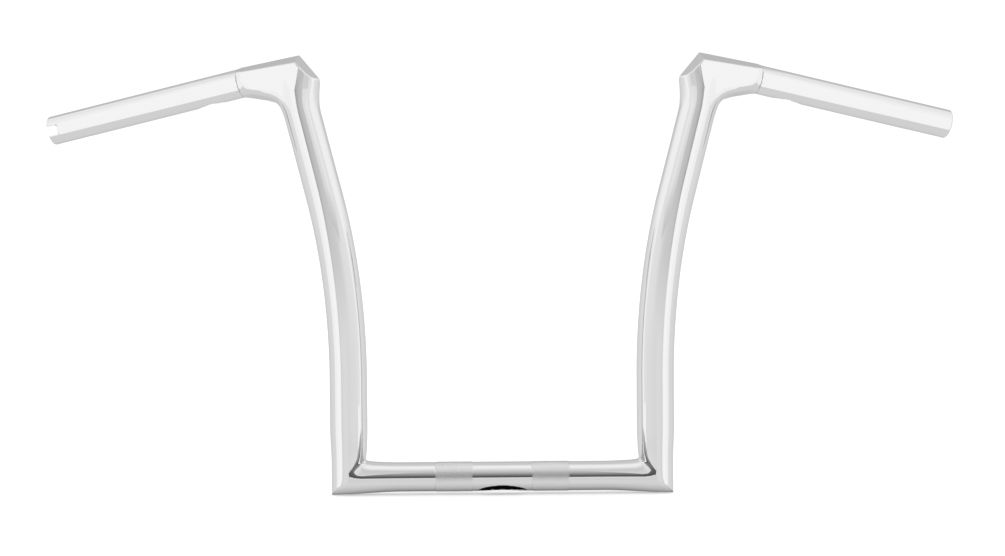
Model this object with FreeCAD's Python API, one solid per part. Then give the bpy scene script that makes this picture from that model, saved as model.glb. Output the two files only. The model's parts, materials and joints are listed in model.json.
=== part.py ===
import FreeCAD, Part
import math
import os

# Welded tall motorcycle handlebar, millimetres.  +Z is up, +Y points back to the rider,
# +X is the rider's left.  The origin is the middle of the clamp tube, on its axis.

# Clamp tube
clamp_od = 25.4
clamp_relief = 0.25
clamp_id = 19.4
clamp_half_length = 84.0
knurl_inner = 25.0
knurl_outer = 56.5
knurl_shoulder = 0.2
base_slot_length = 40.0
base_slot_width = 13.0
base_slot_lean = 24.0

# Lower corners
riser_x = 129.7
corner_od = 29.8
lower_corner_height = 42.0
leg_flare_lead = 18.0
post_flare_start = 12.0
lower_bore = 17.0

# Risers
riser_od = 31.75
riser_id = 25.7
bend_start = 84.0
bend_radius = 319.0
out_slope = 0.285
back_slope = 0.4663

# Upper corners
grip_seam_run = 46.6
plate_half = 13.5
plate_inner_along = -4.0
plate_proud = 0.1
seam_od = 25.9
armpit_radius = 28.0
edge_round = 6.0
neck_slope = 0.55
neck_ease = 4.0
neck_opening = 18.0
ankle_inset = 0.1
ankle_spread = 1.7
ankle_length = 26.0
ankle_power = 3.65
ankle_opening = 32.0
ankle_opening_power = 9
arm_start = -46.0
arm_end = 12.0
arm_widening = 14.0
arm_thinning = 2.3
arm_squareness = 0.3
upper_bore = 17.0
corner_foot_run = 56.0
kink_along = 43.0
plate_angle = 22.0
elbow_height = 344.8
peak_along = -9.4
peak_up = 12.7
peak_front_along = -9.1
peak_front_up = 0.85
bevel_end_along = -24.4
bevel_end_up = -12.7
seam_facet_angle = 38.0
seam_facet_inset = 0.3

# Grips
grip_od = 25.4
grip_id = 19.8
grip_length = 181.2
end_socket_radius = 10.2
end_socket_depth = 42.0
grip_drop = -0.2236
grip_sweep = 0.2324
grip_slot_length = 29.0
grip_slot_width = 15.0
grip_slot_start = 15.5
notch_width = 8.4
notch_depth = 9.6
end_chamfer = 1.2

# Spigots inside the welded seams, and how far each one starts inside its corner
spigot_length = 16.0
spigot_play = 0.1
spigot_root = 4.0

# How far a cutting tool runs past the face that it cuts
overcut = 1.0
# Half the size of the blocks that trim a corner, larger than any corner
trim_reach = 90.0

V = FreeCAD.Vector
bend_slope = math.hypot(out_slope, back_slope)
bend_angle = math.atan(bend_slope)
bend_dir = V(out_slope / bend_slope, back_slope / bend_slope, 0)
riser_up = V(out_slope, back_slope, 1).normalize()
grip_out = V(math.sqrt(1 - grip_drop ** 2 - grip_sweep ** 2), grip_sweep, grip_drop)
plate_back = riser_up.cross(grip_out).normalize()
plate_up = grip_out.cross(plate_back).normalize()
lean = riser_up.dot(grip_out) / riser_up.dot(plate_up)
plate_slope = math.tan(math.radians(plate_angle))
seam_facet = math.radians(seam_facet_angle)


def riser_point(height):
    """Centre of the riser at a height above the clamp tube axis."""
    rise = height - bend_start
    arc_rise = bend_radius * math.sin(bend_angle)
    if rise <= 0:
        away = 0.0
    elif rise <= arc_rise:
        away = bend_radius - math.sqrt(bend_radius ** 2 - rise ** 2)
    else:
        away = bend_radius * (1 - math.cos(bend_angle)) + (rise - arc_rise) * bend_slope
    return V(riser_x, 0, height) + bend_dir * away


elbow = riser_point(elbow_height)
grip_start = elbow + grip_out * grip_seam_run
riser_end_height = elbow_height - corner_foot_run * riser_up.z
riser_end = riser_point(riser_end_height)


def mirrored(shape):
    return shape.mirror(V(0, 0, 0), V(1, 0, 0))


def rod(start, direction, radius, length):
    return Part.makeCylinder(radius, length, start, direction)


def turned(profile, start, direction):
    """Solid turned about an axis from a list of (distance, radius) pairs."""
    points = [V(0, 0, profile[0][0])]
    for distance, radius in profile:
        points.append(V(radius, 0, distance))
    points.append(V(0, 0, profile[-1][0]))
    points.append(points[0])
    solid = Part.Face(Part.makePolygon(points)).revolve(V(0, 0, 0), V(0, 0, 1), 360)
    turn = FreeCAD.Rotation(V(0, 0, 1), direction)
    solid.Placement = FreeCAD.Placement(start, turn)
    return solid


def ease(t):
    """Smooth step from 0 to 1."""
    t = min(max(t, 0.0), 1.0)
    return t * t * (3 - 2 * t)


def flare(start, end, low, high):
    """Smooth run of radii between two distances."""
    steps = 10
    rows = []
    for i in range(steps + 1):
        t = i / steps
        rows.append((start + (end - start) * t, low + (high - low) * ease(t)))
    return rows


def oval_cutter(centre, along, outward, length, width, reach):
    """Oval prism that cuts a wiring opening through one tube wall."""
    ellipse = Part.Ellipse(V(0, 0, 0), length / 2, width / 2)
    face = Part.Face(Part.Wire(ellipse.toShape()))
    prism = face.extrude(V(0, 0, reach))
    side = outward.cross(along).normalize()
    matrix = FreeCAD.Matrix(
        along.x, side.x, outward.x, centre.x,
        along.y, side.y, outward.y, centre.y,
        along.z, side.z, outward.z, centre.z,
        0, 0, 0, 1)
    prism.Placement = FreeCAD.Placement(matrix)
    return prism


def make_clamp_tube():
    body_radius = clamp_od / 2 - clamp_relief
    seat_radius = clamp_od / 2
    profile = [(-clamp_half_length, body_radius)]
    for start, end in ((-knurl_outer, -knurl_inner), (knurl_inner, knurl_outer)):
        profile.append((start - knurl_shoulder, body_radius))
        profile.append((start, seat_radius))
        profile.append((end, seat_radius))
        profile.append((end + knurl_shoulder, body_radius))
    profile.append((clamp_half_length, body_radius))
    tube = turned(profile, V(0, 0, 0), V(1, 0, 0))
    bore_start = -clamp_half_length - overcut
    tube = tube.cut(rod(V(bore_start, 0, 0), V(1, 0, 0), clamp_id / 2, -2 * bore_start))
    slot_lean = math.radians(base_slot_lean)
    down = V(0, -math.sin(slot_lean), -math.cos(slot_lean))
    return tube.cut(oval_cutter(V(0, 0, 0), V(1, 0, 0), down, base_slot_length, base_slot_width, clamp_od))


def mitre_tool():
    """Half space on the clamp tube side of the left mitre, as a large prism."""
    size = trim_reach
    points = [
        V(riser_x - size, -size, -size),
        V(riser_x + size, -size, -size),
        V(riser_x - size, -size, size),
    ]
    wire = Part.makePolygon(points + [points[0]])
    return Part.Face(wire).extrude(V(0, 2 * size, 0))


def make_lower_corner():
    half = corner_od / 2
    tube_radius = clamp_od / 2 - clamp_relief
    elbow_centre = V(riser_x, 0, 0)
    leg_length = riser_x - clamp_half_length
    leg_profile = [(-corner_od, half)] + flare(-leg_flare_lead, leg_length, half, tube_radius)
    leg = turned(leg_profile, elbow_centre, V(-1, 0, 0))
    leg = leg.common(mitre_tool())
    post_profile = [(-corner_od, half)] + flare(post_flare_start, lower_corner_height, half, riser_od / 2)
    post = turned(post_profile, elbow_centre, V(0, 0, 1))
    post = post.cut(mitre_tool())
    body = leg.fuse(post).removeSplitter()
    side_spigot = rod(V(clamp_half_length - spigot_length, 0, 0), V(1, 0, 0),
                      clamp_id / 2 - spigot_play, spigot_length + spigot_root)
    top_spigot = rod(V(riser_x, 0, lower_corner_height - spigot_root), V(0, 0, 1),
                     riser_id / 2 - spigot_play, spigot_length + spigot_root)
    body = body.fuse(side_spigot).fuse(top_spigot)
    past_spigot = spigot_length + overcut
    body = body.cut(rod(elbow_centre, V(-1, 0, 0), lower_bore / 2, leg_length + past_spigot))
    body = body.cut(rod(elbow_centre, V(0, 0, 1), lower_bore / 2, lower_corner_height + past_spigot))
    return body.cut(Part.makeSphere(lower_bore / 2, elbow_centre))


def riser_path():
    arc_end = bend_start + bend_radius * math.sin(bend_angle)
    arc_middle = bend_start + bend_radius * math.sin(bend_angle / 2)
    low = riser_point(lower_corner_height)
    first = riser_point(bend_start)
    middle = riser_point(arc_middle)
    last = riser_point(arc_end)
    edges = [
        Part.makeLine(low, first),
        Part.Arc(first, middle, last).toShape(),
        Part.makeLine(last, riser_end),
    ]
    return Part.Wire(edges)


def swept(radius):
    ring = Part.Wire(Part.Circle(riser_point(lower_corner_height), V(0, 0, 1), radius).toShape())
    return riser_path().makePipeShell([ring], True, False)


def make_riser():
    return swept(riser_od / 2).cut(swept(riser_id / 2))


def make_plate():
    """Filleted plate body of the upper corner, drawn in (along, up, front) axes."""
    side = riser_od / 2 + plate_proud
    half = seam_od / 2
    foot = -corner_foot_run
    meet_up = (-half - plate_slope * (kink_along - side)) / (1 - plate_slope * lean)
    corner = V(side + lean * meet_up, meet_up, 0)
    kink = V(kink_along, -half, 0)
    toward_grip = (kink - corner).normalize()
    toward_foot = V(-lean, -1, 0).normalize()
    half_angle = toward_grip.getAngle(toward_foot) / 2
    start = corner + toward_grip * (armpit_radius / math.tan(half_angle))
    stop = corner + toward_foot * (armpit_radius / math.tan(half_angle))
    bisector = (toward_grip + toward_foot).normalize()
    middle = corner + bisector * (armpit_radius / math.sin(half_angle) - armpit_radius)
    points = [
        V(grip_seam_run, half, 0),
        V(plate_inner_along + lean * half, half, 0),
        V(plate_inner_along + lean * foot, foot, 0),
        V(side + lean * foot, foot, 0),
    ]
    edges = []
    for first, second in zip(points, points[1:]):
        edges.append(Part.makeLine(first, second))
    edges.append(Part.makeLine(points[-1], stop))
    edges.append(Part.Arc(stop, middle, start).toShape())
    edges.append(Part.makeLine(start, kink))
    edges.append(Part.makeLine(kink, V(grip_seam_run, -half, 0)))
    edges.append(Part.makeLine(V(grip_seam_run, -half, 0), points[0]))
    plate = Part.Face(Part.Wire(edges)).extrude(V(0, 0, 2 * plate_half))
    plate.translate(V(0, 0, -plate_half))
    plate = plate.makeFillet(edge_round, plate_rim(plate))
    neck = []
    for i in range(16):
        distance = 5.0 * i
        cone = neck_slope * distance ** 2 / (distance + neck_ease)
        neck.append((distance, half + cone + (distance / neck_opening) ** 4))
    plate = plate.common(turned(neck, V(grip_seam_run, 0, 0), V(-1, 0, 0)))
    ankle = []
    for i in range(13):
        distance = 4.0 * i
        swell = ankle_spread * (distance / ankle_length) ** ankle_power
        swell += (distance / ankle_opening) ** ankle_opening_power
        ankle.append((distance, riser_od / 2 - ankle_inset + swell))
    ankle.append((trim_reach, trim_reach))
    riser_axis = V(lean, 1, 0).normalize()
    return plate.common(turned(ankle, riser_axis * -corner_foot_run, riser_axis))


def plate_rim(plate):
    """Front and back edges of the plate along its outer and under side, as far as the kink."""
    side = riser_od / 2 + plate_proud
    half = seam_od / 2
    rim = []
    for edge in plate.Edges:
        middle = edge.valueAt((edge.FirstParameter + edge.LastParameter) / 2)
        on_face = abs(abs(middle.z) - plate_half) < 0.01
        in_face = abs(edge.tangentAt(edge.FirstParameter).z) < 0.01
        under = middle.x - lean * middle.y > side - 1 and middle.y < half - 1
        if on_face and in_face and under and middle.x < kink_along:
            rim.append(edge)
    return rim


def riser_section(run, inner, outer, depth, power):
    """Closed section of the corner's riser arm at a distance along the riser axis."""
    riser_axis = V(lean, 1, 0).normalize()
    across = V(1, -lean, 0).normalize()
    centre = riser_axis * run
    points = []
    count = 48
    for i in range(count):
        angle = 2 * math.pi * i / count
        c = math.cos(angle)
        s = math.sin(angle)
        reach = outer if c > 0 else inner
        q = reach * math.copysign(abs(c) ** (2 / power), c)
        v = depth * math.copysign(abs(s) ** (2 / power), s)
        points.append(centre + across * q + V(0, 0, v))
    curve = Part.BSplineCurve()
    curve.interpolate(points, PeriodicFlag=True)
    return Part.Wire(curve.toShape())


def make_riser_arm():
    """Riser end that widens toward the bar's middle and flattens a little as it rises into the peak."""
    radius = riser_od / 2
    sections = [riser_section(-corner_foot_run, radius, radius, radius, 2.0)]
    steps = 7
    for i in range(steps + 1):
        share = i / steps
        run = arm_start + (arm_end - arm_start) * share
        grown = ease(share)
        sections.append(riser_section(run, radius + arm_widening * grown, radius,
                                      radius - arm_thinning * grown, 2.0 + arm_squareness * grown))
    return Part.makeLoft(sections, True, False)


def half_space(first, second, third, inside):
    """Large block on the far side of the plane through three points from an inside point."""
    normal = (second - first).cross(third - first).normalize()
    if (inside - first).dot(normal) > 0:
        normal = normal * -1
    block = Part.makeBox(2 * trim_reach, 2 * trim_reach, trim_reach, V(-trim_reach, -trim_reach, 0))
    block.Placement = FreeCAD.Placement(first, FreeCAD.Rotation(V(0, 0, 1), normal))
    return block


def make_upper_corner():
    body = make_riser_arm().fuse(make_plate())
    inside = V(0, -seam_od / 4, 0)
    half = seam_od / 2
    lid = Part.makeBox(2 * trim_reach, trim_reach, 2 * trim_reach, V(-trim_reach, half, -trim_reach))
    body = body.cut(lid)
    for front in (1, -1):
        peak = V(peak_along, peak_up, 0)
        inner_end = V(bevel_end_along, bevel_end_up, 0)
        front_edge = V(peak_front_along, peak_front_up, front * plate_half)
        reach = half - seam_facet_inset
        seam_point = V(grip_seam_run, reach * math.cos(seam_facet), front * reach * math.sin(seam_facet))
        body = body.cut(half_space(peak, front_edge, seam_point, inside))
        body = body.cut(half_space(peak, inner_end, front_edge, inside))
    riser_axis = V(lean, 1, 0).normalize()
    grip_spigot = rod(V(grip_seam_run - spigot_root, 0, 0), V(1, 0, 0),
                      grip_id / 2 - spigot_play, spigot_length + spigot_root)
    riser_spigot = rod(riser_axis * (spigot_root - corner_foot_run), riser_axis * -1,
                       riser_id / 2 - spigot_play, spigot_length + spigot_root)
    body = body.fuse(grip_spigot).fuse(riser_spigot)
    past_spigot = spigot_length + overcut
    body = body.cut(rod(V(0, 0, 0), V(1, 0, 0), upper_bore / 2, grip_seam_run + past_spigot))
    body = body.cut(rod(V(0, 0, 0), riser_axis * -1, upper_bore / 2, corner_foot_run + past_spigot))
    body = body.cut(Part.makeSphere(upper_bore / 2, V(0, 0, 0)))
    front_axis = plate_back * -1
    matrix = FreeCAD.Matrix(
        grip_out.x, plate_up.x, front_axis.x, elbow.x,
        grip_out.y, plate_up.y, front_axis.y, elbow.y,
        grip_out.z, plate_up.z, front_axis.z, elbow.z,
        0, 0, 0, 1)
    body.Placement = FreeCAD.Placement(matrix)
    return body


def grip_frame():
    """Up and side directions of the grips, square to their axis."""
    side = grip_out.cross(V(0, 0, 1)).normalize()
    return side.cross(grip_out).normalize(), side


def end_notch():
    """Bar that cuts both walls at the end of the throttle-side grip."""
    up, side = grip_frame()
    depth = notch_depth + overcut
    bar = Part.makeBox(depth, 2 * grip_od, notch_width, V(-notch_depth, -grip_od, -notch_width / 2))
    end = grip_start + grip_out * grip_length
    matrix = FreeCAD.Matrix(
        grip_out.x, side.x, up.x, end.x,
        grip_out.y, side.y, up.y, end.y,
        grip_out.z, side.z, up.z, end.z,
        0, 0, 0, 1)
    bar.Placement = FreeCAD.Placement(matrix)
    return bar


def make_grip(notched):
    tube = rod(grip_start, grip_out, grip_od / 2, grip_length)
    tube = tube.cut(rod(grip_start - grip_out * overcut, grip_out, grip_id / 2, grip_length + 2 * overcut))
    socket_start = grip_start + grip_out * (grip_length - end_socket_depth)
    tube = tube.cut(rod(socket_start, grip_out, end_socket_radius, end_socket_depth + overcut))
    rim = []
    for edge in tube.Edges:
        if len(edge.Vertexes) == 1 and abs(edge.Curve.Radius - grip_od / 2) < 0.01:
            if (edge.Curve.Center - grip_start).Length > grip_length / 2:
                rim.append(edge)
    tube = tube.makeChamfer(end_chamfer, rim)
    up, side = grip_frame()
    slot_middle = grip_start + grip_out * (grip_slot_start + grip_slot_length / 2)
    tube = tube.cut(oval_cutter(slot_middle, grip_out, up * -1, grip_slot_length, grip_slot_width, grip_od))
    if notched:
        tube = tube.cut(end_notch())
    return tube


def save(name, shape):
    shape.exportStep("parts/" + name + ".step")
    box = shape.BoundBox
    print(name, shape.ShapeType, shape.isValid(), len(shape.Solids), round(shape.Volume),
          [round(v, 1) for v in (box.XMin, box.YMin, box.ZMin, box.XMax, box.YMax, box.ZMax)])


os.makedirs("parts", exist_ok=True)
save("clamp_tube", make_clamp_tube())
lower_corner = make_lower_corner()
save("lower_corner_left", lower_corner)
save("lower_corner_right", mirrored(lower_corner))
riser = make_riser()
save("riser_left", riser)
save("riser_right", mirrored(riser))
upper_corner = make_upper_corner()
save("upper_corner_left", upper_corner)
save("upper_corner_right", mirrored(upper_corner))
save("grip_tube_left", make_grip(False))
save("grip_tube_right", mirrored(make_grip(True)))
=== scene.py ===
import json
import math

import bpy
import numpy as np
from mathutils import Matrix, Vector


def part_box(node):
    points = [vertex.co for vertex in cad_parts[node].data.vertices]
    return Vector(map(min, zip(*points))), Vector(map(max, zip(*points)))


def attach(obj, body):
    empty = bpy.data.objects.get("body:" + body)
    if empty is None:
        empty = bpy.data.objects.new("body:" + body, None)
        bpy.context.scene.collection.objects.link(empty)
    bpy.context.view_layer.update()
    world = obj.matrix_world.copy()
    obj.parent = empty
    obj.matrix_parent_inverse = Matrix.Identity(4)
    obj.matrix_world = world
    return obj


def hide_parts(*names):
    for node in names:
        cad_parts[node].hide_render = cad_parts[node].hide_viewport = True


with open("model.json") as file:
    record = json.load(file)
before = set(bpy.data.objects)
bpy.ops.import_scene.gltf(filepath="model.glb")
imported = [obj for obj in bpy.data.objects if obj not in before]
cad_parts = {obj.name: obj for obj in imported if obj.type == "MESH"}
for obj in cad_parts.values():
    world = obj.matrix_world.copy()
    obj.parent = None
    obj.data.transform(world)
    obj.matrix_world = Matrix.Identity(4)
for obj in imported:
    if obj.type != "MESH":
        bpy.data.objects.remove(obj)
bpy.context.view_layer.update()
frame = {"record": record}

scene = bpy.context.scene
scene.view_settings.view_transform = "Standard"

CHROME_TONE = 0.66
CHROME_EDGE_TONE = 0.72
CHROME_ROUGHNESS = 0.045
KNURL_ROUGHNESS = 0.16
FLOOR_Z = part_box("lower_corner_left")[0].z
FLOOR_HALF = 40.0
FLOOR_TONE = 0.8
FLOOR_GLOW = 0.35
ZENITH = 90.0

# ---------------------------------------------------------------- the studio's cards, in metres
PANEL_FRONT, PANEL_FAR = -0.317, -0.05
PANEL_FOOT, PANEL_TOP = -0.3, 1.3
PANEL_START_LOW, PANEL_START_HIGH, PANEL_END = 0.38, 0.55, 0.9
PANEL_GLOW, SIDE_GLOW = 1.36, 1.3
SHADE_START_X, SHADE_START_Y = 0.144, -0.16
OVERHEAD_Z, OVERHEAD_FRONT, OVERHEAD_BACK, OVERHEAD_HALF = 1.3, -1.3, 0.6, 0.75
EDGE_Y, EDGE_FOOT, EDGE_TOP = -0.03, -0.001, 0.025
EDGE_STRAIGHT, EDGE_END, EDGE_END_TOP = 0.06, 0.1285, 0.0025
CONTACT_LIFT, CONTACT_FRONT, CONTACT_BACK, CONTACT_HALF = 0.0004, -0.03, 0.02, 0.147

# ---------------------------------------------------------------- camera, in metres and degrees
CAMERA_PLACE = (0, -2.6, 0.31)
CAMERA_LENS_MM = 110.54
CAMERA_SENSOR_MM = 36.0
CAMERA_DOWN = 3.127
CAMERA_ROLL = -0.44
CAMERA_YAW = -0.0282


class Nodes:
    """Small helper that wires nodes in one tree."""

    def __init__(self, tree):
        self.tree = tree

    def new(self, kind, **settings):
        node = self.tree.nodes.new(kind)
        for name, value in settings.items():
            setattr(node, name, value)
        return node

    def put(self, socket, value):
        if isinstance(value, bpy.types.NodeSocket):
            self.tree.links.new(value, socket)
        else:
            socket.default_value = value

    def maths(self, operation, *values):
        node = self.new("ShaderNodeMath", operation=operation)
        for socket, value in zip(node.inputs, values):
            self.put(socket, value)
        return node.outputs[0]

    def step(self, value, low, high, start=0.0, end=1.0):
        node = self.new("ShaderNodeMapRange", interpolation_type="SMOOTHSTEP")
        for name, number in (("Value", value), ("From Min", low), ("From Max", high),
                             ("To Min", start), ("To Max", end)):
            self.put(node.inputs[name], number)
        return node.outputs[0]

    def ramp(self, value, stops, top):
        """Brightness along a value that runs from 0 to top, from (value, brightness) stops."""
        node = self.new("ShaderNodeValToRGB")
        elements = node.color_ramp.elements
        scale = max(level for _, level in stops)
        while len(elements) < len(stops):
            elements.new(0.5)
        for element, (place, _) in zip(elements, stops):
            element.position = place / top
        for element, (_, level) in zip(elements, stops):
            element.color = (level / scale,) * 3 + (1,)
        self.put(node.inputs[0], self.maths("DIVIDE", value, top))
        return self.maths("MULTIPLY", node.outputs[0], scale)

    def mix(self, share, first, second):
        kept = self.maths("MULTIPLY", self.maths("SUBTRACT", 1.0, share), first)
        return self.maths("ADD", kept, self.maths("MULTIPLY", share, second))


def make_world():
    """Soft studio: brightness by height for the middle of the front, its sides, the walls and the back."""
    world = bpy.data.worlds.new("studio")
    world.use_nodes = True
    tree = world.node_tree
    tree.nodes.clear()
    n = Nodes(tree)
    split = n.new("ShaderNodeSeparateXYZ")
    n.put(split.inputs[0], n.new("ShaderNodeTexCoord").outputs["Generated"])
    x, y, z = split.outputs
    toward = n.maths("MULTIPLY", y, -1.0)
    side = n.maths("DEGREES", n.maths("ARCTAN2", n.maths("ABSOLUTE", x), toward))
    rise = n.maths("DEGREES", n.maths("ARCSINE", n.maths("MAXIMUM", z, 0.0)))
    middle = n.ramp(rise, [(0, 1.02), (10, 1.03), (25, 0.93), (35, 0.9), (45, 0.88), (90, 0.85)], ZENITH)
    edge = n.ramp(rise, [(0, 1.06), (15, 1.1), (35, 1.1), (60, 1.15), (90, 0.85)], ZENITH)
    wall = n.ramp(rise, [(0, 1.04), (18, 1.1), (33, 1.3), (50, 1.3), (66, 1.05), (90, 0.74)], ZENITH)
    back = n.ramp(rise, [(0, 1.06), (9, 1.06), (17, 0.85), (25, 0.85), (46, 0.85), (60, 0.94), (76, 0.74),
                         (90, 0.74)], ZENITH)
    level = n.mix(n.step(side, 4.0, 42.0), middle, edge)
    level = n.mix(n.step(side, 60.0, 84.0), level, wall)
    level = n.mix(n.step(side, 130.0, 146.0), level, back)
    level = n.mix(n.step(z, -0.14, -0.3), level, 0.95)
    background = n.new("ShaderNodeBackground")
    n.put(background.inputs["Color"], (1, 1, 1, 1))
    n.put(background.inputs["Strength"], level)
    output = n.new("ShaderNodeOutputWorld")
    n.put(output.inputs["Surface"], background.outputs[0])
    scene.world = world


def new_mesh(name, points, faces):
    mesh = bpy.data.meshes.new(name)
    mesh.from_pydata([tuple(p) for p in points], [], faces)
    mesh.update()
    piece = bpy.data.objects.new(name, mesh)
    scene.collection.objects.link(piece)
    return piece


def make_floor():
    """White ground that catches the bar's shadow; the chrome doesn't see it."""
    floor = new_mesh("floor", [(-FLOOR_HALF, -FLOOR_HALF, FLOOR_Z), (FLOOR_HALF, -FLOOR_HALF, FLOOR_Z),
                               (FLOOR_HALF, FLOOR_HALF, FLOOR_Z), (-FLOOR_HALF, FLOOR_HALF, FLOOR_Z)],
                     [(0, 1, 2, 3)])
    material = bpy.data.materials.new("floor_matt_white")
    material.use_nodes = True
    shader = material.node_tree.nodes["Principled BSDF"]
    shader.inputs["Base Color"].default_value = (FLOOR_TONE, FLOOR_TONE, FLOOR_TONE, 1)
    shader.inputs["Roughness"].default_value = 0.9
    shader.inputs["Specular IOR Level"].default_value = 0.0
    shader.inputs["Emission Color"].default_value = (1, 1, 1, 1)
    shader.inputs["Emission Strength"].default_value = FLOOR_GLOW
    floor.data.materials.append(material)
    floor.visible_glossy = False


def blank_reflector(name, corners):
    """Card that only the chrome sees; gives its material's nodes and the places across its box, 0 to 1."""
    card = new_mesh(name, corners, [(0, 1, 2, 3)])
    material = bpy.data.materials.new(name)
    material.use_nodes = True
    material.node_tree.nodes.clear()
    card.data.materials.append(material)
    card.visible_camera = False
    card.visible_diffuse = False
    card.visible_shadow = False
    n = Nodes(material.node_tree)
    split = n.new("ShaderNodeSeparateXYZ")
    n.put(split.inputs[0], n.new("ShaderNodeTexCoord").outputs["Generated"])
    return n, split.outputs


def show(n, level):
    """Let the card whose material this is glow at a level."""
    emission = n.new("ShaderNodeEmission")
    n.put(emission.inputs["Strength"], level)
    n.put(n.new("ShaderNodeOutputMaterial").inputs["Surface"], emission.outputs[0])


def reflector(name, corners, axis, stops):
    """Card seen only in the chrome; stops give its brightness along one of its box's axes."""
    n, places = blank_reflector(name, corners)
    show(n, n.ramp(places["XYZ".index(axis)], stops, 1.0))


def shade_card(name, sign):
    """Card beside a panel that shades one riser, dimmest high up at the panel's edge."""
    start_x = SHADE_START_X * sign
    corners = [(start_x, SHADE_START_Y, PANEL_FOOT), (PANEL_START_LOW * sign, PANEL_FRONT, PANEL_FOOT),
               (PANEL_START_HIGH * sign, PANEL_FRONT, PANEL_TOP), (start_x, SHADE_START_Y, PANEL_TOP)]
    n, places = blank_reflector("shade_panel_" + name, corners)
    span = PANEL_TOP - PANEL_FOOT
    at_panel = [(PANEL_FOOT, 0.93), (0.2, 0.93), (0.25, 0.86), (0.34, 0.7), (0.45, 0.62), (0.55, 0.52),
                (0.62, 0.46), (PANEL_TOP, 0.46)]
    at_start = [(PANEL_FOOT, 1.05), (0.12, 1.05), (0.21, 0.95), (0.27, 0.88), (0.41, 0.84), (0.5, 0.8),
                (PANEL_TOP, 0.78)]
    dim = n.ramp(places[2], [((z - PANEL_FOOT) / span, level) for z, level in at_panel], 1.0)
    pale = n.ramp(places[2], [((z - PANEL_FOOT) / span, level) for z, level in at_start], 1.0)
    depth = n.maths("SUBTRACT", 1.0, places[1])
    show(n, n.mix(n.step(depth, 0.0, 1.0), pale, dim))


def make_panels():
    """On each side a front panel, a side panel and a shade card, and a strip between the two risers."""
    for name, sign in (("left", 1), ("right", -1)):
        inner_low, inner_high, outer = PANEL_START_LOW * sign, PANEL_START_HIGH * sign, PANEL_END * sign
        reflector("front_panel_" + name,
                  [(inner_low, PANEL_FRONT, PANEL_FOOT), (outer, PANEL_FRONT, PANEL_FOOT),
                   (outer, PANEL_FRONT, PANEL_TOP), (inner_high, PANEL_FRONT, PANEL_TOP)],
                  "Z", [(0.0, PANEL_GLOW), (1.0, PANEL_GLOW)])
        reflector("side_panel_" + name,
                  [(outer, PANEL_FRONT, PANEL_FOOT), (outer, PANEL_FAR, PANEL_FOOT),
                   (outer, PANEL_FAR, PANEL_TOP), (outer, PANEL_FRONT, PANEL_TOP)],
                  "Z", [(0.0, SIDE_GLOW), (1.0, SIDE_GLOW)])
        shade_card(name, sign)
    # Each riser would see the far side's shade card on edge, as a dark line, and this strip covers it.
    reflector("middle_strip", [(0, -0.1, 0.05), (0, -0.045, 0.05), (0, 0.065, PANEL_TOP), (0, 0.02, PANEL_TOP)],
              "Z", [(0.0, 1.1), (0.4, 1.15), (1.0, 1.15)])


def make_front_edge():
    """Dark edge in front of the clamp tube, lower toward the corners so that the risers see less of it."""
    dark_below = [(0.0, 0.1), (0.18, 0.16), (0.6, 0.6), (0.83, 0.74), (1.0, 0.86)]
    reflector("front_edge", [(-EDGE_STRAIGHT, EDGE_Y, EDGE_FOOT), (EDGE_STRAIGHT, EDGE_Y, EDGE_FOOT),
                             (EDGE_STRAIGHT, EDGE_Y, EDGE_TOP), (-EDGE_STRAIGHT, EDGE_Y, EDGE_TOP)],
              "Z", dark_below)
    for name, sign in (("left", 1), ("right", -1)):
        start, end = EDGE_STRAIGHT * sign, EDGE_END * sign
        reflector("front_edge_" + name, [(start, EDGE_Y, EDGE_FOOT), (end, EDGE_Y, EDGE_FOOT),
                                         (end, EDGE_Y, EDGE_END_TOP), (start, EDGE_Y, EDGE_TOP)],
                  "Z", dark_below)


def make_reflectors():
    """Overhead softbox, the panels, the dark edge in front of the clamp tube and the shade under it."""
    stops = [(OVERHEAD_FRONT, 0.82), (-0.9, 0.95), (-0.75, 1.03), (-0.65, 1.1), (-0.5, 1.2), (-0.35, 1.27),
             (-0.1, 1.3), (0.07, 1.22), (0.34, 0.97), (OVERHEAD_BACK, 0.74)]
    length = OVERHEAD_BACK - OVERHEAD_FRONT
    reflector("overhead_softbox",
              [(-OVERHEAD_HALF, OVERHEAD_FRONT, OVERHEAD_Z), (OVERHEAD_HALF, OVERHEAD_FRONT, OVERHEAD_Z),
               (OVERHEAD_HALF, OVERHEAD_BACK, OVERHEAD_Z), (-OVERHEAD_HALF, OVERHEAD_BACK, OVERHEAD_Z)],
              "Y", [((place - OVERHEAD_FRONT) / length, level) for place, level in stops])
    make_panels()
    make_front_edge()
    level = FLOOR_Z + CONTACT_LIFT
    reflector("contact_shade", [(-CONTACT_HALF, CONTACT_FRONT, level), (CONTACT_HALF, CONTACT_FRONT, level),
                                (CONTACT_HALF, CONTACT_BACK, level), (-CONTACT_HALF, CONTACT_BACK, level)],
              "Y", [(0.0, 1.0), (0.25, 0.95), (0.4, 0.75), (0.55, 0.35), (1.0, 0.35)])


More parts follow.
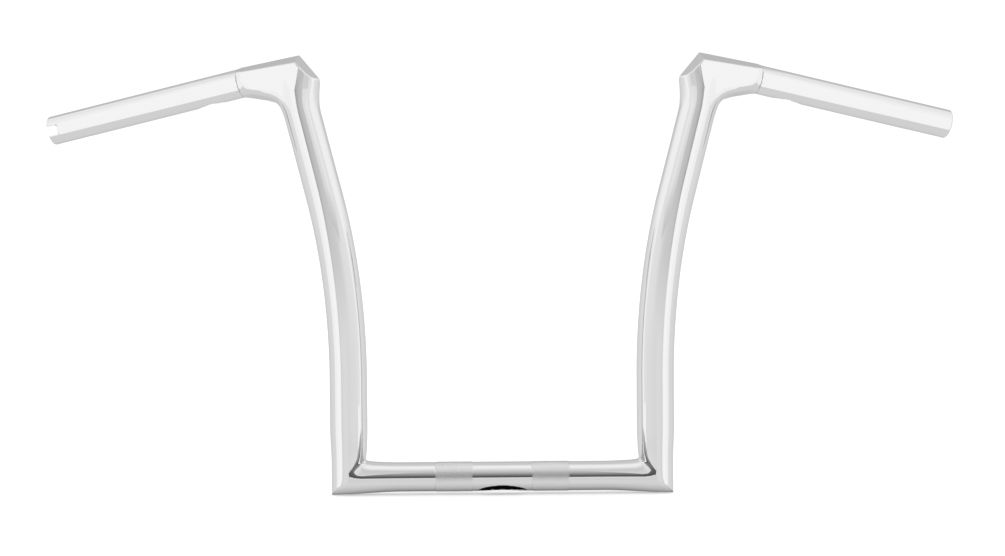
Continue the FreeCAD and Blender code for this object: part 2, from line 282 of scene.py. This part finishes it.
# ---------------------------------------------------------------- the bar, in millimetres
CLAMP_END = 84.0
TUBE_R = 12.45
SEAT_R = 12.7
CLAMP_BORE_R = 9.7
BASE_SLOT_LEAN = math.radians(24)
BASE_SLOT_HALF_LENGTH, BASE_SLOT_HALF_WIDTH = 20.0, 6.5
KNURL_SPAN = (25.0, 56.5)
KNURL_TEETH = 54
KNURL_PITCH = 1.45
CORNER_R = 14.9
RISER_X = 129.7
RISER_R = 15.875
CORNER_TOP = 42.0
BEND_START = 84.0
BEND_R = 319.0
OUT_SLOPE = 0.285
BACK_SLOPE = 0.4663
GRIP_R = 12.7
GRIP_BORE_R = 9.9
END_SOCKET_R = 10.2
END_SOCKET_DEPTH = 42.0
GRIP_SLOT_MIDDLE = 30.0
GRIP_SLOT_HALF_LENGTH, GRIP_SLOT_HALF_WIDTH = 14.5, 6.8
GRIP_SLOT_TURN = math.radians(12)
NOTCH_HALF = 4.2
NOTCH_DEPTH = 9.6
SEAM_RUN = 46.6
SEAM_R = 12.95
FOOT_RUN = 56.0
PLATE_HALF = 13.5
PLATE_INSET, INSET_START, INSET_LENGTH = 15.0, -44.0, 54.0
ARM_START, ARM_LENGTH = -46.0, 58.0
ARM_WIDENING, ARM_RECESS, ARM_OVERLAP = 14.0, 0.8, 3.5
UNDERSIDE_SLANT, UNDERSIDE_START = math.radians(22), 43.0
NECK_SLOPE, NECK_EASE, NECK_OPENING = 0.55, 4, 18
ANKLE_SPREAD, ANKLE_RISE, ANKLE_LENGTH, ANKLE_POWER = 1.7, 24, 26, 3.65
ANKLE_OPENING, ANKLE_OPENING_POWER = 32, 9
PEAK_RUN, BEVEL_RUN, BEVEL_UP, ROOF_FOOT_RUN = -9.4, -9.1, 0.85, -24.4
ROOF_SEAM_R, ROOF_SEAM_TURN = 12.65, math.radians(38)


def smooth(t):
    t = np.clip(t, 0.0, 1.0)
    return t * t * (3 - 2 * t)


def soft_max(a, b, width):
    """Larger of two fields, with the corner between them rounded over a width."""
    return np.maximum(a, b) + np.maximum(width - np.abs(a - b), 0.0) ** 2 / (4 * width)


def soft_min(a, b, width):
    return -soft_max(-a, -b, width)


def round_edge(a, b, radius):
    """Both fields kept inside, their shared edge rounded to a radius."""
    inside = np.minimum(np.maximum(a, b) + radius, 0.0)
    return inside + np.hypot(np.maximum(a + radius, 0.0), np.maximum(b + radius, 0.0)) - radius


def skin(field, low, high, step):
    """Quads on the zero level of a field, with the points moved onto it, and the outward normals there."""
    low = np.array(low, float)
    counts = np.ceil((np.array(high, float) - low) / step).astype(int) + 1
    axes = [low[i] + step * np.arange(counts[i]) for i in range(3)]
    grid = np.stack(np.meshgrid(*axes, indexing="ij"), -1)
    values = field(grid[..., 0], grid[..., 1], grid[..., 2])
    inside = values < 0
    cells = tuple(counts - 1)
    total = np.zeros(cells + (3,))
    crossings = np.zeros(cells)
    for axis in range(3):
        others = [i for i in range(3) if i != axis]
        for first in (0, 1):
            for second in (0, 1):
                near = [slice(0, -1)] * 3
                far = [slice(0, -1)] * 3
                far[axis] = slice(1, None)
                for other, offset in zip(others, (first, second)):
                    near[other] = slice(1, None) if offset else slice(0, -1)
                    far[other] = near[other]
                near, far = tuple(near), tuple(far)
                crossed = inside[near] != inside[far]
                gap = np.where(crossed, values[near] - values[far], 1.0)
                share = np.where(crossed, values[near] / gap, 0.0)
                point = grid[near] + (grid[far] - grid[near]) * share[..., None]
                total += np.where(crossed[..., None], point, 0.0)
                crossings += crossed
    used = crossings > 0
    index = np.full(cells, -1)
    index[used] = np.arange(int(used.sum()))
    points = total[used] / crossings[used][:, None]
    quads = []
    for axis in range(3):
        others = [(axis + 1) % 3, (axis + 2) % 3]
        near = [slice(1, -1)] * 3
        far = [slice(1, -1)] * 3
        near[axis] = slice(0, -1)
        far[axis] = slice(1, None)
        crossed = inside[tuple(near)] != inside[tuple(far)]
        outward = inside[tuple(near)][crossed]
        spot = np.argwhere(crossed)
        spot[:, others[0]] += 1
        spot[:, others[1]] += 1
        ring = []
        for first, second in ((0, 0), (1, 0), (1, 1), (0, 1)):
            cell = spot.copy()
            cell[:, others[0]] -= first
            cell[:, others[1]] -= second
            ring.append(index[tuple(cell.T)])
        ring = np.stack(ring, 1)
        ring[~outward] = ring[~outward][:, ::-1]
        quads.append(ring)
    quads = np.concatenate(quads)
    for _ in range(4):
        slope, level = gradient(field, points)
        points -= slope * (level / np.maximum((slope ** 2).sum(1), 1e-6))[:, None]
    slope, _ = gradient(field, points)
    normals = slope / np.maximum(np.linalg.norm(slope, axis=1), 1e-9)[:, None]
    return points, quads, normals


def gradient(field, points):
    reach = 0.02
    x, y, z = points.T
    slope = np.stack([
        field(x + reach, y, z) - field(x - reach, y, z),
        field(x, y + reach, z) - field(x, y - reach, z),
        field(x, y, z + reach) - field(x, y, z - reach)], 1) / (2 * reach)
    return slope, field(x, y, z)


def add_piece(name, points, quads, normals, material, replaced, mirror=False, bore=None):
    """Mesh object from points in millimetres in the row frame; bore marks the quads that aren't plated."""
    points = np.array(points, float) * 0.001
    normals = None if normals is None else np.array(normals, float)
    quads = np.array(quads)
    if mirror:
        points[:, 0] *= -1
        quads = quads[:, ::-1]
        if normals is not None:
            normals[:, 0] *= -1
    mesh = bpy.data.meshes.new(name)
    mesh.from_pydata(points.tolist(), [], quads.tolist())
    mesh.update()
    mesh.shade_smooth()
    if normals is not None:
        mesh.normals_split_custom_set_from_vertices(normals.tolist())
    piece = bpy.data.objects.new(name, mesh)
    scene.collection.objects.link(piece)
    mesh.materials.append(material)
    if bore is not None:
        mesh.materials.append(bare_steel)
        mesh.polygons.foreach_set("material_index", bore.astype(np.int32))
    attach(piece, "root")
    if replaced:
        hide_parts(replaced)
    return piece


def riser_point(height):
    slope = math.hypot(OUT_SLOPE, BACK_SLOPE)
    angle = math.atan(slope)
    rise = height - BEND_START
    arc = BEND_R * math.sin(angle)
    if rise <= 0:
        away = 0.0
    elif rise <= arc:
        away = BEND_R - math.sqrt(BEND_R ** 2 - rise ** 2)
    else:
        away = BEND_R * (1 - math.cos(angle)) + (rise - arc) * slope
    return Vector((RISER_X + away * OUT_SLOPE / slope, away * BACK_SLOPE / slope, height))


def record_mount(name):
    """Place in millimetres, axis and length of a mount in the record."""
    for mount in frame["record"]["mounts"]:
        if mount["name"] == name:
            place = Vector(mount["pos_m"]) * 1000
            return place, Vector(mount["axis"]).normalized(), mount["dims"]["length_mm"]
    raise ValueError(name)


seat_middle, grip_out, seat_length = record_mount("grip_seat_left")
grip_start = seat_middle - grip_out * (seat_length / 2)
elbow = grip_start - grip_out * SEAM_RUN
riser_up = Vector((OUT_SLOPE, BACK_SLOPE, 1)).normalized()
plate_back = riser_up.cross(grip_out).normalized()
plate_up = grip_out.cross(plate_back).normalized()
plate_front = -plate_back
LEAN = riser_up.dot(grip_out) / riser_up.dot(plate_up)
riser_end = elbow - riser_up * FOOT_RUN


def placed(points, normals, centre, x_axis, y_axis, z_axis):
    turn = np.array([x_axis, y_axis, z_axis])
    return points @ turn + np.array(centre), normals @ turn


def sweep(centres, ups, radius, around):
    """Tube of rings about a line of centres; ups are the line's directions."""
    side = Vector((0, -1, 0))
    points, quads = [], []
    for centre, up in zip(centres, ups):
        first = (side - up * side.dot(up)).normalized()
        second = up.cross(first)
        for i in range(around):
            turn = 2 * math.pi * i / around
            points.append(centre + (first * math.cos(turn) + second * math.sin(turn)) * radius)
    for j in range(len(centres) - 1):
        for i in range(around):
            k = (i + 1) % around
            quads.append((j * around + i, j * around + k, (j + 1) * around + k, (j + 1) * around + i))
    return points, quads


def make_risers(material):
    """Round tube: straight, then bent back and out, then straight again."""
    heights = np.linspace(CORNER_TOP, riser_end.z, 110)
    centres = [riser_point(float(h)) for h in heights]
    ups = [(riser_point(float(h) + 0.01) - riser_point(float(h) - 0.01)).normalized() for h in heights]
    points, quads = sweep(centres, ups, RISER_R, 96)
    for name, mirror in (("left", False), ("right", True)):
        add_piece("riser_tube_" + name, points, quads, None, material, "riser_" + name, mirror)


def lower_corner_field(x, y, z):
    """Mitred elbow from the clamp tube up into the riser, its mitre crease softened at the front."""
    across = x - RISER_X
    sharp = np.maximum(across, -z)
    crease = 1.2 + 4.3 * np.clip(1 - (sharp / CORNER_R) ** 2, 0, 1)
    outward = soft_max(across, -z, crease)
    run = np.maximum(-across, z)
    leg = CORNER_R + (TUBE_R - CORNER_R) * smooth((run + 18) / 63.7)
    post = CORNER_R + (RISER_R - CORNER_R) * smooth((run - 12) / 30)
    share = smooth((-across - z + 9) / 18)
    radius = post + (leg - post) * share
    return np.hypot(outward, y) - radius + 0.015


def make_lower_corners(material):
    points, quads, normals = skin(lower_corner_field, (CLAMP_END - 1, -16.5, -16.5),
                                  (RISER_X + 17, 16.5, CORNER_TOP + 1), 0.9)
    for name, mirror in (("left", False), ("right", True)):
        add_piece("mitred_corner_" + name, points, quads, normals, material, "lower_corner_" + name, mirror)


def plane_field(first, second, third, inside):
    """Distance outside the plane through three points."""
    first, second, third, inside = (Vector(p) for p in (first, second, third, inside))
    normal = (second - first).cross(third - first).normalized()
    if (inside - first).dot(normal) > 0:
        normal = -normal
    return lambda a, u, v: (a - first.x) * normal.x + (u - first.y) * normal.y + (v - first.z) * normal.z


ROOFS = []
for face in (1, -1):
    peak = (PEAK_RUN, GRIP_R, 0)
    bevel_point = (BEVEL_RUN, BEVEL_UP, face * PLATE_HALF)
    seam_point = (SEAM_RUN, ROOF_SEAM_R * math.cos(ROOF_SEAM_TURN),
                  face * ROOF_SEAM_R * math.sin(ROOF_SEAM_TURN))
    ROOFS.append(plane_field(peak, bevel_point, seam_point, (0, -8, 0)))
    ROOFS.append(plane_field(peak, (ROOF_FOOT_RUN, -GRIP_R, 0), bevel_point, (0, -8, 0)))


def upper_corner_field(a, u, v):
    """Faceted corner in (along grip, up, front) axes: a widening riser arm, a flat plate and four bevels."""
    norm = math.hypot(1, LEAN)
    run = (a * LEAN + u) / norm
    across = (a - u * LEAN) / norm
    grow = smooth((run - ARM_START) / ARM_LENGTH)
    flat = -PLATE_INSET * smooth((run - INSET_START) / INSET_LENGTH)
    arm_flat = np.minimum(flat + ARM_OVERLAP, 0)
    reach = RISER_R + ARM_WIDENING * grow + arm_flat
    depth = RISER_R + (PLATE_HALF - ARM_RECESS - RISER_R) * grow
    beside = across - np.clip(across, arm_flat, 0)
    wide = np.where(beside < 0, reach, RISER_R)
    arm = (np.sqrt((beside / wide) ** 2 + (v / depth) ** 2) - 1) * depth
    slanted = -GRIP_R - math.tan(UNDERSIDE_SLANT) * (UNDERSIDE_START - a) - u
    under = soft_min(slanted * math.cos(UNDERSIDE_SLANT), -SEAM_R - u, 3.0)
    outline = soft_min(under, across - RISER_R + 0.2, 16.0)
    plate = round_edge(outline, np.abs(v) - PLATE_HALF, 9.0)
    around = np.hypot(u, v)
    behind_seam = np.maximum(SEAM_RUN - a, 0)
    neck = SEAM_R + NECK_SLOPE * behind_seam ** 2 / (behind_seam + NECK_EASE)
    neck = neck + (behind_seam / NECK_OPENING) ** 4
    plate = soft_max(plate, around - neck, 1.0)
    above_foot = np.maximum(run + FOOT_RUN, 0)
    sunk = ANKLE_SPREAD * (1 - smooth(above_foot / ANKLE_RISE))
    spread = ANKLE_SPREAD * (above_foot / ANKLE_LENGTH) ** ANKLE_POWER
    ankle = RISER_R - sunk + spread + (above_foot / ANKLE_OPENING) ** ANKLE_OPENING_POWER
    plate = soft_max(plate, np.hypot(across, v) - ankle, 1.0)
    plate = round_edge(plate, flat - across, 1.0)
    body = soft_min(arm, plate, 1.5)
    body = round_edge(body, u - SEAM_R + 0.1, 0.5)
    for roof in ROOFS:
        body = round_edge(body, roof(a, u, v), 0.7)
    body = round_edge(body, a - SEAM_RUN, 0.5)
    return body + 0.012


def make_upper_corners(material):
    """Skin of the corner without its foot's end face, which the riser covers."""
    points, quads, normals = skin(upper_corner_field, (-40, -FOOT_RUN - 2, -17), (SEAM_RUN + 2, 16, 17), 0.7)
    norm = math.hypot(1, LEAN)
    run = (points[:, 0] * LEAN + points[:, 1]) / norm
    keep = (run[quads] > -FOOT_RUN - 1.2).all(1)
    points, normals = placed(points, normals, elbow, grip_out, plate_up, plate_front)
    for name, mirror in (("left", False), ("right", True)):
        add_piece("faceted_corner_" + name, points, quads[keep], normals, material,
                  "upper_corner_" + name, mirror)


def grip_field(notched):
    """Field of a grip tube, and its length."""
    socket_middle, _, socket_depth = record_mount("end_socket_left")
    length = (socket_middle - grip_start).length + socket_depth / 2

    def field(a, s, h):
        """Grip tube in (along, toward the front, up) axes."""
        r = np.hypot(s, h)
        body = round_edge(r - GRIP_R, a - length, 1.6)
        body = np.maximum(body, -a)
        bore = np.where(a > length - END_SOCKET_DEPTH, END_SOCKET_R, GRIP_BORE_R)
        body = round_edge(body, bore - r, 0.4)
        low = s * math.sin(GRIP_SLOT_TURN) + h * math.cos(GRIP_SLOT_TURN)
        side = s * math.cos(GRIP_SLOT_TURN) - h * math.sin(GRIP_SLOT_TURN)
        around_slot = np.hypot((a - GRIP_SLOT_MIDDLE) / GRIP_SLOT_HALF_LENGTH, side / GRIP_SLOT_HALF_WIDTH)
        slot = (around_slot - 1) * GRIP_SLOT_HALF_WIDTH
        slot = np.maximum(slot, low)
        body = round_edge(body, -slot, 0.5)
        if notched:
            notch = np.maximum(np.abs(h) - NOTCH_HALF, length - NOTCH_DEPTH - a)
            body = round_edge(body, -notch, 0.4)
        return body

    return field, length


def make_grips(material):
    front = Vector((0, -1, 0))
    front = (front - grip_out * front.dot(grip_out)).normalized()
    up = front.cross(grip_out).normalized()
    if up.z < 0:
        up = -up
    for name, mirror in (("left", False), ("right", True)):
        field, length = grip_field(mirror)
        points, quads, normals = skin(field, (-0.8, -14, -14), (length + 1, 14, 14), 0.8)
        bore = np.hypot(points[:, 1], points[:, 2])[quads].max(1) < END_SOCKET_R + 0.05
        points, normals = placed(points, normals, grip_start, grip_out, front, up)
        if np.linalg.det(np.array([grip_out, front, up])) < 0:
            quads = quads[:, ::-1]
        add_piece("grip_bar_" + name, points, quads, normals, material, "grip_tube_" + name, mirror, bore)


def clamp_tube_field(x, y, z):
    """Clamp tube with its wiring slot, sunk a little where the knurled bands cover it."""
    knurl_middle, knurl_reach = 40.75, 16.1
    r = np.hypot(y, z)
    radius = TUBE_R - 0.25 * smooth((knurl_reach - np.abs(np.abs(x) - knurl_middle)) / 0.6)
    body = round_edge(r - radius, CLAMP_BORE_R - r, 0.4)
    low = y * math.sin(BASE_SLOT_LEAN) + z * math.cos(BASE_SLOT_LEAN)
    side = y * math.cos(BASE_SLOT_LEAN) - z * math.sin(BASE_SLOT_LEAN)
    slot = (np.hypot(x / BASE_SLOT_HALF_LENGTH, side / BASE_SLOT_HALF_WIDTH) - 1) * BASE_SLOT_HALF_WIDTH
    slot = np.maximum(slot, low)
    return round_edge(body, -slot, 0.4)


def make_clamp_tube(material):
    around = 13.4
    points, quads, normals = skin(clamp_tube_field, (-CLAMP_END - 1, -around, -around),
                                  (CLAMP_END + 1, around, around), 0.8)
    bore = np.hypot(points[:, 1], points[:, 2])[quads].max(1) < CLAMP_BORE_R + 0.05
    add_piece("clamp_bar", points, quads, normals, material, "clamp_tube", bore=bore)


def make_knurls(material):
    """Fine diamond knurl on the two clamp seats."""
    per_tooth, rows_per_tooth = 6, 6
    start, stop = KNURL_SPAN
    rows = int((stop - start) / KNURL_PITCH * rows_per_tooth)
    around = KNURL_TEETH * per_tooth
    turn = np.arange(around) / around
    along = np.linspace(start, stop, rows + 1)
    turned = turn[None, :] * KNURL_TEETH
    climbed = (along[:, None] - start) / KNURL_PITCH
    cell = np.abs(((turned + climbed) % 1) * 2 - 1)
    cross = np.abs(((turned - climbed) % 1) * 2 - 1)
    edge = smooth(np.minimum(along - start, stop - along) / 0.9)[:, None]
    tooth = np.clip(1.35 - 1.6 * np.maximum(cell, cross), 0, 1)
    radius = SEAT_R - 0.33 + edge * 0.32 * tooth
    angle = turn * 2 * math.pi
    places = np.repeat(along[:, None], around, 1)
    grid = np.stack([places, radius * np.cos(angle), radius * np.sin(angle)], -1)
    inner = SEAT_R - 0.6
    ends = [np.stack([np.full(around, at), inner * np.cos(angle), inner * np.sin(angle)], -1)
            for at in (start - 0.02, stop + 0.02)]
    points = np.concatenate([ends[0][None], grid, ends[1][None]])
    quads = []
    total = points.shape[0]
    for j in range(total):
        for i in range(around):
            k = (i + 1) % around
            n = (j + 1) % total
            quads.append((j * around + i, j * around + k, n * around + k, n * around + i))
    points = points.reshape(-1, 3)
    for name, mirror in (("left", False), ("right", True)):
        add_piece("knurl_band_" + name, points, quads, None, material, None, mirror)


def chrome_material(name, roughness):
    """Bright chrome plate with a slightly uneven gloss."""
    material = bpy.data.materials.new(name)
    material.use_nodes = True
    tree = material.node_tree
    n = Nodes(tree)
    shader = tree.nodes["Principled BSDF"]
    shader.inputs["Base Color"].default_value = (CHROME_TONE, CHROME_TONE, CHROME_TONE * 1.01, 1)
    shader.inputs["Metallic"].default_value = 1.0
    shader.inputs["Specular Tint"].default_value = (CHROME_EDGE_TONE, CHROME_EDGE_TONE, CHROME_EDGE_TONE, 1)
    place = n.new("ShaderNodeTexCoord").outputs["Object"]
    cloud = n.new("ShaderNodeTexNoise")
    n.put(cloud.inputs["Vector"], place)
    n.put(cloud.inputs["Scale"], 38.0)
    n.put(cloud.inputs["Detail"], 4.0)
    n.put(shader.inputs["Roughness"], n.step(cloud.outputs[0], 0.35, 0.7, roughness, roughness + 0.05))
    return material


def bare_steel_material():
    """Dull dark steel inside the tubes, where the plating doesn't reach."""
    material = bpy.data.materials.new("bare_bore_steel")
    material.use_nodes = True
    tree = material.node_tree
    n = Nodes(tree)
    shader = tree.nodes["Principled BSDF"]
    shader.inputs["Metallic"].default_value = 1.0
    cloud = n.new("ShaderNodeTexNoise")
    n.put(cloud.inputs["Vector"], n.new("ShaderNodeTexCoord").outputs["Object"])
    n.put(cloud.inputs["Scale"], 420.0)
    n.put(cloud.inputs["Detail"], 6.0)
    tone = n.new("ShaderNodeValToRGB")
    tone.color_ramp.elements[0].color = (0.035, 0.034, 0.033, 1)
    tone.color_ramp.elements[1].color = (0.12, 0.11, 0.105, 1)
    n.put(tone.inputs[0], cloud.outputs[0])
    n.put(shader.inputs["Base Color"], tone.outputs[0])
    n.put(shader.inputs["Roughness"], n.step(cloud.outputs[0], 0.3, 0.7, 0.45, 0.7))
    return material


def make_camera():
    """Long lens a little above the bar, looking slightly down."""
    data = bpy.data.cameras.new("camera")
    data.lens = CAMERA_LENS_MM
    data.sensor_width = CAMERA_SENSOR_MM
    data.clip_end = 200.0
    camera = bpy.data.objects.new("camera", data)
    scene.collection.objects.link(camera)
    pitch = math.radians(90 - CAMERA_DOWN)
    roll = math.radians(CAMERA_ROLL)
    yaw = math.radians(CAMERA_YAW)
    turn = Matrix.Rotation(yaw, 4, "Z") @ Matrix.Rotation(pitch, 4, "X") @ Matrix.Rotation(roll, 4, "Z")
    camera.matrix_world = Matrix.Translation(CAMERA_PLACE) @ turn
    scene.camera = camera


make_world()
make_floor()
make_reflectors()
make_camera()
chrome = chrome_material("polished_chrome", CHROME_ROUGHNESS)
satin = chrome_material("knurled_chrome", KNURL_ROUGHNESS)
bare_steel = bare_steel_material()
make_clamp_tube(chrome)
make_knurls(satin)
make_lower_corners(chrome)
make_risers(chrome)
make_upper_corners(chrome)
make_grips(chrome)
